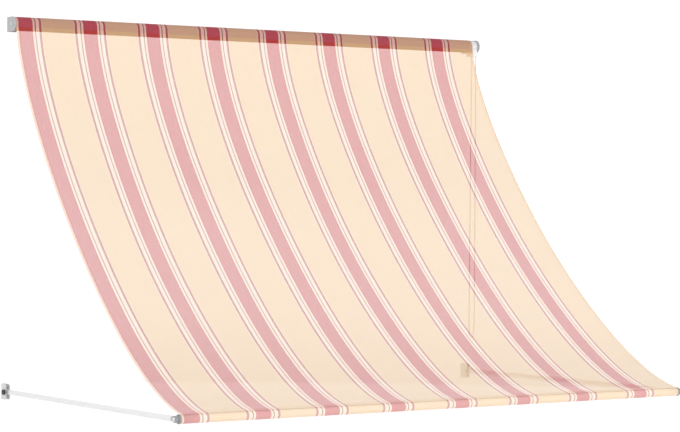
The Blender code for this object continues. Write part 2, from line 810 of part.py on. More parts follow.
def smooth_route(points, count):
    """Reads evenly shared points from a smooth curve through the route's own points."""
    ends = [points[0] * 2 - points[1], *points, points[-1] * 2 - points[-2]]
    curve = []
    pieces = len(points) - 1
    fine = 24
    for index in range(pieces):
        a, b, c, d = ends[index : index + 4]
        for step in range(fine):
            t = step / fine
            square = (2 * a - 5 * b + 4 * c - d) * t**2
            cube = (3 * b - a - 3 * c + d) * t**3
            curve.append(0.5 * (2 * b + (c - a) * t + square + cube))
    curve.append(points[-1].copy())
    weights = [0.0]
    for index in range(1, len(curve)):
        step = curve[index] - curve[index - 1]
        before = curve[index - 1] - curve[index - 2] if index > 1 else step
        bend = step.angle(before)
        weights.append(weights[-1] + step.length + bend * CORD_BEND_WEIGHT)
    sampled = []
    cursor = 0
    for number in range(count):
        goal = weights[-1] * number / (count - 1)
        while cursor < len(curve) - 2 and weights[cursor + 1] < goal:
            cursor += 1
        span = weights[cursor + 1] - weights[cursor]
        share = (goal - weights[cursor]) / span
        sampled.append(curve[cursor].lerp(curve[cursor + 1], min(share, 1.0)))
    return sampled


def build_cord():
    route = [Vector((PULLEY_X, -ROLLER_OUT - out, up)) for out, up in CORD_ROUTE]
    curve = bpy.data.curves.new("operating_cord", "CURVE")
    curve.dimensions = "3D"
    curve.bevel_depth = CORD_DIAMETER / 2
    curve.bevel_resolution = 2
    curve.use_fill_caps = True
    spline = curve.splines.new("POLY")
    samples = smooth_route(route, CORD_STEPS)
    spline.points.add(len(samples) - 1)
    for point, sample in zip(spline.points, samples):
        point.co = (*sample, 1)
    cord = bpy.data.objects.new("operating_cord", curve)
    bpy.context.scene.collection.objects.link(cord)
    finished(smooth(as_mesh(cord), 60), "operating_cord", white_plastic)


def lower_bracket(name, side):
    """Bent sheet channel: a wall plate with a cheek on each side of the arm's foot."""
    centre = side * ARM_X
    inner = CHEEK_GAP
    outer = CHEEK_OUTER
    corners = [
        (centre - outer, LOWER_REACH, 0),
        (centre - outer, 0, LOWER_BEND + BRACKET_SHEET),
        (centre + outer, 0, LOWER_BEND + BRACKET_SHEET),
        (centre + outer, LOWER_REACH, 0),
        (centre + inner, LOWER_REACH, 0),
        (centre + inner, BRACKET_SHEET, LOWER_BEND),
        (centre - inner, BRACKET_SHEET, LOWER_BEND),
        (centre - inner, LOWER_REACH, 0),
    ]
    channel = plate(name, rounded(corners), LOWER_HEIGHT, top_frame(0))
    half = LOWER_HEIGHT / 2
    side_view = [
        (0, -half, 0),
        (LOWER_REACH, -half, LOWER_CORNER),
        (LOWER_REACH, half, LOWER_CORNER),
        (0, half, 0),
    ]
    trimmer = plate("lower_side_view", rounded(side_view), 3 * outer, side_frame(centre))
    channel = combine(channel, trimmer, "INTERSECT")
    channel = hole(channel, (centre, PIVOT.y, PIVOT.z), PIVOT_BOLT_DIAMETER / 2 + GAP, 4 * outer)
    for lift in (-LOWER_HOLE_SPREAD / 2, LOWER_HOLE_SPREAD / 2):
        channel = hole_through_wall(channel, (centre, 0, lift))
    return channel


def arm_foot(name, side):
    """Cast foot: a round-ended tongue on the pivot bolt, a collar under the tube and a spigot inside it."""
    x = side * ARM_X
    eye = ARM_DIAMETER / 2
    tongue_end = FOOT_COLLAR_FROM + TONGUE_OVERLAP
    steps = 14
    outline = [Vector((tongue_end, eye * TONGUE_TAPER))]
    for step in range(steps + 1):
        angle = math.pi / 2 + math.pi * step / steps
        outline.append(Vector((eye * math.cos(angle), eye * math.sin(angle))))
    outline.append(Vector((tongue_end, -eye * TONGUE_TAPER)))
    tongue = plate(name, list(reversed(outline)), TONGUE_THICK, arm_frame(x), bevel=TONGUE_EDGE)
    tube_start = FOOT_COLLAR_FROM + FOOT_COLLAR_LENGTH
    spigot = ARM_DIAMETER / 2 - ARM_WALL - GAP
    collar = [
        (0, tube_start + SPIGOT_LENGTH),
        (spigot - CHAMFER, tube_start + SPIGOT_LENGTH),
        (spigot, tube_start + SPIGOT_LENGTH - CHAMFER),
        (spigot, tube_start),
        (eye, tube_start),
        (eye, FOOT_COLLAR_FROM + FOOT_COLLAR_CHAMFER),
        (eye - FOOT_COLLAR_CHAMFER, FOOT_COLLAR_FROM),
        (0, FOOT_COLLAR_FROM),
    ]
    foot = combine(tongue, along_arm("foot_collar", collar, x, SMALL_SIDES), "UNION")
    eye_hole = PIVOT_BOLT_DIAMETER / 2 + RUNNING_FIT
    return hole(foot, (x, PIVOT.y, PIVOT.z), eye_hole, 4 * TONGUE_THICK, sides=SMALL_SIDES)


def arm_tube(name, side):
    start = FOOT_COLLAR_FROM + FOOT_COLLAR_LENGTH + GAP
    end = ARM_LENGTH - CORNER_TO_TUBE - GAP
    outer = ARM_DIAMETER / 2
    return along_arm(name, ring(outer - ARM_WALL, outer, start, end), side * ARM_X, SMALL_SIDES)


def corner_piece(name, side):
    """Moulded corner: a spigot in the bar, a cap over its end, a hub, and a neck that plugs into the arm."""
    cap = CORNER_CAP_DIAMETER / 2
    hub = CORNER_HUB_DIAMETER / 2
    bar_bore = BAR_DIAMETER / 2 - BAR_WALL - GAP
    bolt_hole = BAR_BOLT_DIAMETER / 2 + GAP
    cap_end = CORNER_FACE + CORNER_CAP_THICK
    profile = [
        (hub - CORNER_HUB_EDGE, CORNER_OUTER),
        (hub, CORNER_OUTER - CORNER_HUB_EDGE),
        (hub, cap_end),
        (cap - CORNER_CAP_EDGE, cap_end),
        (cap, cap_end - CORNER_CAP_EDGE),
        (cap, CORNER_FACE + CHAMFER),
        (cap - CHAMFER, CORNER_FACE),
        (bar_bore, CORNER_FACE),
        (bar_bore, CORNER_FACE - SPIGOT_LENGTH + CHAMFER),
        (bar_bore - CHAMFER, CORNER_FACE - SPIGOT_LENGTH),
        (bolt_hole, CORNER_FACE - SPIGOT_LENGTH),
        (bolt_hole, CORNER_OUTER),
    ]
    body = turned(name, facing(profile, side), TUBE_SIDES, at=BAR_AXIS)
    tube_end = ARM_LENGTH - CORNER_TO_TUBE
    neck = ARM_DIAMETER / 2 - CORNER_NECK_STEP
    neck_end = ARM_LENGTH - bolt_hole - CHAMFER
    spigot = ARM_DIAMETER / 2 - ARM_WALL - GAP
    neck_profile = [
        (0, neck_end),
        (neck, neck_end),
        (neck, tube_end),
        (spigot, tube_end),
        (spigot, tube_end - SPIGOT_LENGTH + CHAMFER),
        (spigot - CHAMFER, tube_end - SPIGOT_LENGTH),
        (0, tube_end - SPIGOT_LENGTH),
    ]
    neck_piece = along_arm("corner_neck", neck_profile, side * ARM_X, SMALL_SIDES)
    return combine(body, neck_piece, "UNION")


def bar_bolt(name, side):
    """Domed bolt along the bar's axis that holds the corner piece."""
    head_face = CORNER_OUTER + GAP
    bolt_end = head_face - BAR_BOLT_LENGTH
    shank = BAR_BOLT_DIAMETER / 2
    profile = domed(BAR_BOLT_HEAD_DIAMETER / 2, head_face, BAR_BOLT_RIM, BAR_BOLT_HEAD_THICK) + [
        (shank, head_face),
        (shank, bolt_end + CHAMFER),
        (shank - CHAMFER, bolt_end),
        (0, bolt_end),
    ]
    return turned(name, facing(profile, side), SMALL_SIDES, at=BAR_AXIS)


def build_front(arms_empty):
    bar = tube_along_x("front_bar", BAR_DIAMETER, BAR_WALL, BAR_HALF, BAR_AXIS)
    finished(bar, "front_bar", white_paint, arms_empty)
    for word, side in (("left", LEFT), ("right", RIGHT)):
        finished(arm_tube(f"arm_{word}", side), f"arm_{word}", white_paint, arms_empty)
        finished(arm_foot(f"arm_foot_{word}", side), f"arm_foot_{word}", zinc, arms_empty)
        corner = corner_piece(f"bar_corner_{word}", side)
        finished(corner, f"bar_corner_{word}", black_plastic, arms_empty)
        finished(bar_bolt(f"bar_bolt_{word}", side), f"bar_bolt_{word}", zinc, arms_empty)


def build_pivot(word, side):
    """Everything at one arm pivot that stays with the wall: bracket, bolt, washers and clamp knob."""
    finished(lower_bracket(f"lower_bracket_{word}", side), f"lower_bracket_{word}", white_paint)
    centre = Vector((side * ARM_X, PIVOT.y, PIVOT.z))

    bolt = PIVOT_BOLT_DIAMETER / 2
    head_face = -(CHEEK_OUTER + GAP)
    bolt_end = CHEEK_OUTER + GAP + KNOB_BORE_DEPTH - END_PLAY
    across = PIVOT_HEAD_ACROSS / 2 / math.cos(math.pi / 6)
    shank_profile = facing(disc(bolt, head_face - PIVOT_HEAD_THICK / 2, bolt_end, BOLT_END_CHAMFER), side)
    head_profile = facing(disc(across, head_face - PIVOT_HEAD_THICK, head_face), side)
    shank = turned(f"pivot_bolt_{word}", shank_profile, SMALL_SIDES, at=centre)
    head = turned("bolt_head", head_profile, 6, at=centre)
    finished(combine(shank, head, "UNION"), f"pivot_bolt_{word}", zinc)

    for place_word, way in (("inner", -side), ("outer", side)):
        start = TONGUE_THICK / 2 + GAP
        middle = centre + Vector((way * (start + WASHER_THICK / 2), 0, 0))
        half = WASHER_THICK / 2
        washer_profile = ring(bolt + GAP, WASHER_DIAMETER / 2, -half, half, WASHER_EDGE)
        name = f"washer_{word}_{place_word}"
        finished(turned(name, washer_profile, SMALL_SIDES, at=middle), name, black_plastic)

    knob_centre = axis_empty(f"knob_axis_{word}", centre)
    knob = clamp_knob(f"clamp_knob_{word}", side, centre)
    finished(knob, f"clamp_knob_{word}", black_plastic, knob_centre)


def clamp_knob(name, side, centre):
    """Lobed knob with a low boss towards the bracket and a blind bore for the bolt."""
    inner_face = CHEEK_OUTER + GAP
    grip_from = inner_face + KNOB_BOSS_HEIGHT
    grip_thick = KNOB_THICK - KNOB_BOSS_HEIGHT
    outline = []
    steps = KNOB_LOBES * 6
    for step in range(steps):
        angle = 2 * math.pi * step / steps
        radius = KNOB_DIAMETER / 2 - KNOB_LOBE_DEPTH * (1 - math.cos(KNOB_LOBES * angle)) / 2
        offset = Vector((math.cos(angle), math.sin(angle))) * radius
        outline.append(Vector((-centre.y, centre.z)) + offset)
    middle = centre.x + side * (grip_from + grip_thick / 2)
    grip = plate(name, outline, grip_thick, side_frame(middle), bevel=KNOB_EDGE)
    boss_profile = facing(disc(KNOB_BOSS_DIAMETER / 2, inner_face, grip_from + KNOB_EDGE), side)
    boss = turned("knob_boss", boss_profile, SMALL_SIDES, at=centre)
    knob = combine(grip, boss, "UNION")
    bore_at = centre + Vector((side * inner_face, 0, 0))
    return hole(knob, bore_at, PIVOT_BOLT_DIAMETER / 2 + GAP, 2 * KNOB_BORE_DEPTH)


def main():
    clear_scene()
    make_collection(PARTS)
    make_collection(CUTTERS)
    arms_empty = axis_empty("arms_axis", PIVOT)
    roller_empty = axis_empty("roller_axis", ROLLER_AXIS)
    build_cloth(roller_empty, arms_empty)
    build_roller(roller_empty)
    build_upper_brackets()
    build_drive(roller_empty)
    build_cord()
    build_front(arms_empty)
    build_pivot("left", LEFT)
    build_pivot("right", RIGHT)


main()
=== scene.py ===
"""Looks for the drop-arm fabric awning: camera, cord, cloth, finishes, floor and light.

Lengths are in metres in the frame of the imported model: the wall is the plane Y = 0, the awning reaches
out towards -Y, and Z is up. (out, up) pairs below are the distance from the wall and the height.
"""

import json
import math

import bmesh
import bpy
from mathutils import Matrix, Vector


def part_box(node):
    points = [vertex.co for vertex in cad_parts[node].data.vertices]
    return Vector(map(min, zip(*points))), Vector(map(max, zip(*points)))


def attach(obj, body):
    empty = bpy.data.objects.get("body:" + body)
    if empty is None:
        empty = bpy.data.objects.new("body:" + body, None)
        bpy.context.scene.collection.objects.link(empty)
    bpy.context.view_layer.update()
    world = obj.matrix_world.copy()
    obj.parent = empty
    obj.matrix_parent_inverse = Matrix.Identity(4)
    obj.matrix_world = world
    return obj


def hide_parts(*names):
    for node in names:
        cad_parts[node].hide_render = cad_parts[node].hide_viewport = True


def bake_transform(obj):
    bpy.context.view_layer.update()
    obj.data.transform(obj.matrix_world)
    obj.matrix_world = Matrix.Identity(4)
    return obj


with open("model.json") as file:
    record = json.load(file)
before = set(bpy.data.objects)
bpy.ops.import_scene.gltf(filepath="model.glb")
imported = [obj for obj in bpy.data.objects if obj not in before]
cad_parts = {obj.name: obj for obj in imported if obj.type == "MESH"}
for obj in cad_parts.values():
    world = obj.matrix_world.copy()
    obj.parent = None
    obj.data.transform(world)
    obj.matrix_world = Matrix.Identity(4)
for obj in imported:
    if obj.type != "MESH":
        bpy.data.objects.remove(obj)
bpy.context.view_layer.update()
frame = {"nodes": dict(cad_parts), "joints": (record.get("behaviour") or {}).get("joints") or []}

# Camera: the photograph's view, fitted to the pivots, the roller, the bar and the cloth's edges.
# The picture is 680 x 432 pixels and has its centre on the camera's axis.
CAMERA_PLACE = (-4.7732, -8.4023, 0.8432)
CAMERA_YAW = 0.55879
CAMERA_PITCH = -0.01174
CAMERA_ROLL = 0.00746
FOCAL_PIXELS = 2180.0
PICTURE_WIDTH = 680
SENSOR_WIDTH = 36.0

# Operating cord, as in the part's source: how far each point lies in front of the roller axis and
# how high it is
CORD_DIAMETER = 0.004
CORD_SIDES = 12
CORD_RINGS = 620
CORD_BEND_WEIGHT = 0.05
CORD_ROUTE = (
    (0.0170, 1.4800),
    (0.0170, 1.4500),
    (0.0173, 1.3900),
    (0.0177, 1.2600),
    (0.0183, 1.1000),
    (0.0189, 0.9200),
    (0.0195, 0.7400),
    (0.0200, 0.5600),
    (0.0204, 0.4000),
    (0.0205, 0.2800),
    (0.0200, 0.2150),
    (0.0168, 0.1810),
    (0.0098, 0.1625),
    (0.0000, 0.1565),
    (-0.0098, 0.1625),
    (-0.0168, 0.1810),
    (-0.0200, 0.2150),
    (-0.0205, 0.2800),
    (-0.0204, 0.4000),
    (-0.0200, 0.5600),
    (-0.0195, 0.7400),
    (-0.0189, 0.9200),
    (-0.0183, 1.1000),
    (-0.0177, 1.2600),
    (-0.0173, 1.3900),
    (-0.0170, 1.4500),
    (-0.0170, 1.4800),
)

# Cloth, as in the part's source
GAP = 0.0003
CLOTH_THICK = 0.0007
WIND_PITCH = 0.00105
ROLLER_TURNS = 3.0
HEM_TURNS = 2.4
DRAPE_TOP_DEG = 5.5
DRAPE_TOP_PULL = 0.400
DRAPE_FOOT_DEG = 9.5
DRAPE_FOOT_PULL = 0.530
LAP_DEG = 80.0
HEM_LAP_DEG = 14.0
SIDE_HEM_WIDTH = 0.013
SIDE_HEM_DEPTH = 0.0006
HEM_COLUMNS = 4
WIND_STEPS = 96
WOUND_COLUMNS = 24
STITCH_LENGTH = 0.0032
STITCH_PITCH = 0.0044
STITCH_WIDTH = 0.0006
STITCH_INSETS = (0.0030, 0.0105)
STITCH_STATIONS = ((-0.5, -0.0001), (-0.3, 0.0003), (0.3, 0.0003), (0.5, -0.0001))
STITCH_CROWN = 0.0002

# Rows of the hanging cloth from the roller to the bar, and how many of them lie close to each
LAP_ROWS, SAG_ROWS, HEM_LAP_ROWS = 24, 150, 8
NEAR_ROWS = 2

# Material slots of the hanging cloth; the first one is the free cloth
THREAD_SLOT, UNDER_SLOT, OVER_ROLL_SLOT, BELOW_ROLL_SLOT, OVER_BAR_SLOT = 1, 2, 3, 4, 5

# Stripes: one repeat is symmetric about its wide red stripe. Each colour starts at its share of the
# repeat, counted out from the middle of that stripe.
STRIPE_REPEAT = 0.294
FIRST_RED_FROM_EDGE = 0.041
RED = (0.450, 0.024, 0.024)
CREAM = (0.84, 0.575, 0.425)
DARK = (0.140, 0.072, 0.035)
IVORY = (0.85, 0.560, 0.440)
DEEP_RED = (0.340, 0.062, 0.030)
TAN = (0.665, 0.447, 0.232)
STRIPE_BANDS = (
    (0.0, RED),
    (0.109, CREAM),
    (0.139, DARK),
    (0.154, IVORY),
    (0.206, DEEP_RED),
    (0.241, CREAM),
    (0.248, TAN),
)
WARP_PITCH = 0.0011
WEFT_PITCH = 0.0013

# The hanging cloth is half see-through, as in the photograph, and so is the hem folded under its edges
HANGING_ALPHA = 0.64
UNDER_ALPHA = 0.30

# Finishes
BRACKET_PAINT = (0.37, 0.375, 0.38)
# The lower brackets wear a paler copy of the bracket paint: painted light against the shade between
# their cheeks.
CHANNEL_PAINT_LIGHTENED = (0.60, 0.605, 0.61)
ARM_PAINT = (0.70, 0.705, 0.71)
RUBBED_PAINT = (0.24, 0.24, 0.245)
DUST = (0.60, 0.58, 0.54)
BLACK_PLASTIC = (0.022, 0.022, 0.024)
WHITE_PLASTIC = (0.66, 0.665, 0.66)
GREY_PLASTIC = (0.27, 0.277, 0.285)
# Cord colours: the darker one is painted shade in the braid's grooves, the lighter one its crowns.
CORD_GROOVE_SHADE = (0.34, 0.32, 0.29)
CORD_LIGHT = (0.66, 0.64, 0.60)
BRAID_REPEAT = 0.0126
EDGE_BEVEL = 0.0004
PAINT_WEAR_RADIUS = 0.0009
PLASTIC_WEAR_RADIUS = 0.0008

# Studio: the floor's height, its own faint glow that keeps the backdrop white, stronger where the bowl
# rises, and the bowl as rings of (radius, height above the floor)
FLOOR_HEIGHT = -1.6
FLOOR_GLOW = 0.272
RIM_GLOW = 0.11
BOWL_RINGS = ((18.0, 0.0), (24.0, 0.6), (29.0, 2.6), (32.0, 6.5), (33.0, 12.0), (33.0, 30.0))
BOWL_SIDES = 72
SKY_STRENGTH = 0.63
LIGHT_TARGET = (0, -0.6, 0.8)
LIGHTS = (
    ("key", (-3.5, -6.0, 5.5), (4.0, 3.0), 205, (1.0, 0.985, 0.96)),
    ("fill", (5.5, -5.0, 3.0), (4.0, 3.0), 125, (0.97, 0.985, 1.0)),
    ("back", (0.5, 5.0, 5.0), (5.0, 3.0), 110, (1.0, 1.0, 1.0)),
)


def joint_place(name):
    return Vector(next(j["pos_m"] for j in frame["joints"] if j["name"] == name))


def centre_of(node):
    low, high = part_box(node)
    return (low + high) / 2


def radius_of(node):
    low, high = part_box(node)
    return (high.z - low.z) / 2


BRACKETS = ("upper_bracket_left", "upper_bracket_right", "lower_bracket_left", "lower_bracket_right")
ROLLER_TUBE_RADIUS = radius_of("roller_tube")
BAR_RADIUS = radius_of("front_bar")
ROLLER_AXIS = joint_place("roller_spin")
BAR_AXIS = centre_of("front_bar")
HALF_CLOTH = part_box("cloth_roll")[1].x
CORD_X = centre_of("operating_cord").x


def make_camera():
    forward = Vector(
        (
            math.sin(CAMERA_YAW) * math.cos(CAMERA_PITCH),
            math.cos(CAMERA_YAW) * math.cos(CAMERA_PITCH),
            math.sin(CAMERA_PITCH),
        )
    )
    level_right = forward.cross(Vector((0, 0, 1))).normalized()
    level_up = level_right.cross(forward)
    cosine, sine = math.cos(CAMERA_ROLL), math.sin(CAMERA_ROLL)
    right = level_right * cosine + level_up * sine
    up = level_up * cosine - level_right * sine
    data = bpy.data.cameras.new("camera")
    data.sensor_width = SENSOR_WIDTH
    data.lens = FOCAL_PIXELS * SENSOR_WIDTH / PICTURE_WIDTH
    data.clip_start = 0.05
    data.clip_end = 200
    camera = bpy.data.objects.new("camera", data)
    bpy.context.scene.collection.objects.link(camera)
    turned = Matrix((right, up, -forward)).transposed().to_4x4()
    camera.matrix_world = Matrix.Translation(CAMERA_PLACE) @ turned
    bpy.context.scene.camera = camera


class Nodes:
    """A material's node tree with short calls for the nodes used here."""

    def __init__(self, name):
        self.material = bpy.data.materials.new(name)
        self.material.use_nodes = True
        self.tree = self.material.node_tree
        self.shader = self.tree.nodes["Principled BSDF"]

    def add(self, kind, **settings):
        node = self.tree.nodes.new(kind)
        for key, value in settings.items():
            setattr(node, key, value)
        return node

    def link(self, source, target):
        self.tree.links.new(source, target)

    def feed(self, socket, value):
        if isinstance(value, bpy.types.NodeSocket):
            self.link(value, socket)
        else:
            socket.default_value = value

    def math(self, operation, *values):
        node = self.add("ShaderNodeMath", operation=operation)
        for socket, value in zip(node.inputs, values):
            self.feed(socket, value)
        return node.outputs[0]

    def mix(self, share, first, second, blend="MIX"):
        node = self.add("ShaderNodeMix", data_type="RGBA", blend_type=blend)
        self.feed(node.inputs["Factor"], share)
        colours = [s for s in node.inputs if s.type == "RGBA"]
        self.feed(colours[0], self.opaque(first))
        self.feed(colours[1], self.opaque(second))
        return next(s for s in node.outputs if s.type == "RGBA")

    @staticmethod
    def opaque(colour):
        return (*colour, 1.0) if isinstance(colour, tuple) and len(colour) == 3 else colour

    def noise(self, scale, detail=2.0, vector=None, rough=0.5):
        node = self.add("ShaderNodeTexNoise")
        node.inputs["Scale"].default_value = scale
        node.inputs["Detail"].default_value = detail
        node.inputs["Roughness"].default_value = rough
        if vector is not None:
            self.link(vector, node.inputs["Vector"])
        return node.outputs["Fac"]

    def span(self, value, low, high, new_low, new_high):
        node = self.add("ShaderNodeMapRange")
        for socket, number in zip(node.inputs, (value, low, high, new_low, new_high)):
            self.feed(socket, number)
        return node.outputs[0]

    def place(self):
        return self.add("ShaderNodeTexCoord").outputs["Object"]

    def stretched(self, vector, scale):
        node = self.add("ShaderNodeVectorMath", operation="MULTIPLY")
        self.link(vector, node.inputs[0])
        node.inputs[1].default_value = scale
        return node.outputs[0]

    def bump(self, height, distance, strength=1.0):
        node = self.add("ShaderNodeBump")
        node.inputs["Strength"].default_value = strength
        node.inputs["Distance"].default_value = distance
        self.link(height, node.inputs["Height"])
        self.link(node.outputs["Normal"], self.shader.inputs["Normal"])

    def edges(self, radius):
        """1 on the solid's sharp edges, 0 on its flats and its wide curves."""
        rounded = self.add("ShaderNodeBevel", samples=4)
        rounded.inputs["Radius"].default_value = radius
        plain = self.add("ShaderNodeNewGeometry")
        alike = self.add("ShaderNodeVectorMath", operation="DOT_PRODUCT")
        self.link(rounded.outputs["Normal"], alike.inputs[0])
        self.link(plain.outputs["Normal"], alike.inputs[1])
        return self.span(alike.outputs["Value"], 0.97, 0.80, 0.0, 1.0)

    def set(self, **values):
        for name, value in values.items():
            self.feed(self.shader.inputs[name.replace("_", " ")], value)


def powder_coat(name, colour):
    """Satin paint on metal: fine orange peel, faint dust in patches, thin and rubbed along its edges."""
    nodes = Nodes(name)
    at = nodes.place()
    dust = nodes.span(nodes.noise(9.0, 4.0, at), 0.35, 0.75, 0.0, 0.10)
    base = nodes.mix(dust, colour, DUST)
    patchy = nodes.span(nodes.noise(110.0, 3.0, at), 0.42, 0.62, 0.08, 0.50)
    worn = nodes.math("MULTIPLY", nodes.edges(PAINT_WEAR_RADIUS), patchy)
    base = nodes.mix(worn, base, RUBBED_PAINT)
    rough = nodes.span(nodes.noise(60.0, 3.0, at), 0.3, 0.7, 0.36, 0.48)
    nodes.set(Base_Color=base, Roughness=rough, Specular_IOR_Level=0.5)
    nodes.bump(nodes.noise(900.0, 1.0, at), 0.00004, 0.5)
    return nodes.material


def zinc_plate(name):
    """Zinc-plated steel: cool grey with cloudy passivation and fine turning marks."""
    nodes = Nodes(name)
    at = nodes.place()
    cloud = nodes.span(nodes.noise(45.0, 4.0, at), 0.3, 0.7, 0.0, 1.0)
    base = nodes.mix(cloud, (0.52, 0.53, 0.56), (0.66, 0.66, 0.67))
    rough = nodes.span(nodes.noise(140.0, 3.0, at), 0.3, 0.7, 0.26, 0.42)
    nodes.set(Base_Color=base, Roughness=rough, Metallic=1.0)
    nodes.bump(nodes.noise(1.0, 2.0, nodes.stretched(at, (2600.0, 300.0, 300.0))), 0.00003, 0.4)
    return nodes.material


def cast_grey(name):
    """Painted casting: pale grey with a slightly pebbled skin."""
    nodes = Nodes(name)
    at = nodes.place()
    patch = nodes.span(nodes.noise(70.0, 4.0, at), 0.3, 0.7, 0.0, 1.0)
    base = nodes.mix(patch, (0.50, 0.51, 0.52), (0.58, 0.585, 0.59))
    rough = nodes.span(nodes.noise(240.0, 2.0, at), 0.3, 0.7, 0.40, 0.56)
    nodes.set(Base_Color=base, Roughness=rough)
    nodes.bump(nodes.noise(700.0, 2.0, at), 0.00010, 0.6)
    return nodes.material


def moulded(name, colour, rough_low, rough_high):
    """Injection-moulded plastic: spark-eroded grain, slight sheen changes, edges paled by handling."""
    nodes = Nodes(name)
    at = nodes.place()
    tone = nodes.span(nodes.noise(30.0, 3.0, at), 0.3, 0.7, 0.0, 1.0)
    darker = tuple(channel * 0.86 for channel in colour)
    rough = nodes.span(nodes.noise(180.0, 3.0, at), 0.3, 0.7, rough_low, rough_high)
    paler = tuple(channel * 0.75 + 0.10 for channel in colour)
    patchy = nodes.span(nodes.noise(90.0, 3.0, at), 0.4, 0.65, 0.1, 0.6)
    handled = nodes.math("MULTIPLY", nodes.edges(PLASTIC_WEAR_RADIUS), patchy)
    nodes.set(Base_Color=nodes.mix(handled, nodes.mix(tone, colour, darker), paler), Roughness=rough)
    nodes.bump(nodes.noise(1400.0, 1.0, at), 0.00006, 0.6)
    return nodes.material


def braid(name):
    """Braided cord: two families of strands that cross, read from the tube's own map."""
    nodes = Nodes(name)
    uv = nodes.add("ShaderNodeUVMap", uv_map="tube").outputs[0]
    split = nodes.add("ShaderNodeSeparateXYZ")
    nodes.link(uv, split.inputs[0])
    round_it, along = split.outputs[0], split.outputs[1]
    strands = []
    for turn in ("ADD", "SUBTRACT"):
        phase = nodes.math("MULTIPLY", nodes.math(turn, round_it, along), 8 * math.pi)
        strands.append(nodes.math("SINE", phase))
    height = nodes.math("MAXIMUM", *strands)
    # Painted shade: darker where the strands sink, lighter on their crowns.
    shade = nodes.span(height, -0.4, 1.0, 0.0, 1.0)
    nodes.set(Base_Color=nodes.mix(shade, CORD_GROOVE_SHADE, CORD_LIGHT), Roughness=0.72)
    nodes.bump(height, 0.0004, 0.8)
    return nodes.material


def striped_cloth(name, cover, underlay_or_shade, alpha=1.0, sheen=0.15):
    """Woven awning cloth, read from a map in metres. cover is the share of its dye over the colour
    beneath it: a pale underlay, or on the roller a dark painted shade.
    """
    nodes = Nodes(name)
    uv = nodes.add("ShaderNodeUVMap", uv_map="cloth").outputs[0]
    split = nodes.add("ShaderNodeSeparateXYZ")
    nodes.link(uv, split.inputs[0])
    across, along = split.outputs[0], split.outputs[1]

    first_red = FIRST_RED_FROM_EDGE - HALF_CLOTH
    repeats = nodes.math("DIVIDE", nodes.math("SUBTRACT", across, first_red), STRIPE_REPEAT)
    from_red = nodes.math("PINGPONG", repeats, 0.5)
    ramp = nodes.add("ShaderNodeValToRGB")
    ramp.color_ramp.interpolation = "CONSTANT"
    stops = ramp.color_ramp.elements
    for number, (share, colour) in enumerate(STRIPE_BANDS):
        stop = stops[number] if number < 2 else stops.new(share)
        stop.position = share
        stop.color = (*colour, 1.0)
    nodes.link(from_red, ramp.inputs[0])
    dye = ramp.outputs["Color"]

    threads = nodes.noise(1.0, 2.0, nodes.stretched(uv, (900.0, 14.0, 0.0)))
    broad = nodes.noise(2.2, 3.0, uv)
    dye = nodes.mix(nodes.span(threads, 0.3, 0.7, 0.0, 0.045), dye, (1.0, 0.95, 0.88))
    dye = nodes.mix(nodes.span(broad, 0.35, 0.75, 0.0, 0.05), dye, (0.55, 0.48, 0.40))
    nodes.set(Base_Color=nodes.mix(cover, underlay_or_shade, dye), Roughness=0.86, Sheen_Weight=sheen)
    nodes.set(Sheen_Roughness=0.5, Specular_IOR_Level=0.2)
    if alpha < 1:
        nodes.set(Alpha=alpha)

    warp = nodes.math("SINE", nodes.math("MULTIPLY", across, 2 * math.pi / WARP_PITCH))
    weft = nodes.math("SINE", nodes.math("MULTIPLY", along, 2 * math.pi / WEFT_PITCH))
    nodes.bump(nodes.math("ADD", warp, weft), 0.00008, 0.35)
    return nodes.material


def thread(name):
    """Sewing thread, in two shades of ecru."""
    nodes = Nodes(name)
    at = nodes.place()
    tone = nodes.span(nodes.noise(500.0, 2.0, at), 0.3, 0.7, 0.0, 1.0)
    nodes.set(Base_Color=nodes.mix(tone, (0.86, 0.80, 0.70), (0.72, 0.66, 0.56)), Roughness=0.8)
    return nodes.material


def lay_grid(solid, grid, uv, map_at):
    """Smooth quads over rows of vertices, with each corner mapped to map_at(row, column)."""
    for row in range(len(grid) - 1):
        for column in range(len(grid[0]) - 1):
            corners = ((row, column), (row, column + 1), (row + 1, column + 1), (row + 1, column))
            face = solid.faces.new([grid[r][c] for r, c in corners])
            face.smooth = True
            for loop, (r, c) in zip(face.loops, corners):
                loop[uv].uv = map_at(r, c)


def as_piece(name, solid):
    mesh = bpy.data.meshes.new(name)
    solid.to_mesh(mesh)
    solid.free()
    piece = bpy.data.objects.new(name, mesh)
    bpy.context.scene.collection.objects.link(piece)
    return piece


def smooth_route(points, count):
    """Reads evenly shared points from a smooth curve through the route's own points."""
    ends = [points[0] * 2 - points[1], *points, points[-1] * 2 - points[-2]]
    curve = []
    fine = 24
    for index in range(len(points) - 1):
        a, b, c, d = ends[index : index + 4]
        for step in range(fine):
            t = step / fine
            square = (2 * a - 5 * b + 4 * c - d) * t**2
            cube = (3 * b - a - 3 * c + d) * t**3
            curve.append(0.5 * (2 * b + (c - a) * t + square + cube))
    curve.append(points[-1].copy())
    weights = [0.0]
    for index in range(1, len(curve)):
        step = curve[index] - curve[index - 1]
        before = curve[index - 1] - curve[index - 2] if index > 1 else step
        weights.append(weights[-1] + step.length + step.angle(before) * CORD_BEND_WEIGHT)
    sampled = []
    cursor = 0
    for number in range(count):
        goal = weights[-1] * number / (count - 1)
        while cursor < len(curve) - 2 and weights[cursor + 1] < goal:
            cursor += 1
        span = weights[cursor + 1] - weights[cursor]
        share = (goal - weights[cursor]) / span
        sampled.append(curve[cursor].lerp(curve[cursor + 1], min(share, 1.0)))
    return sampled


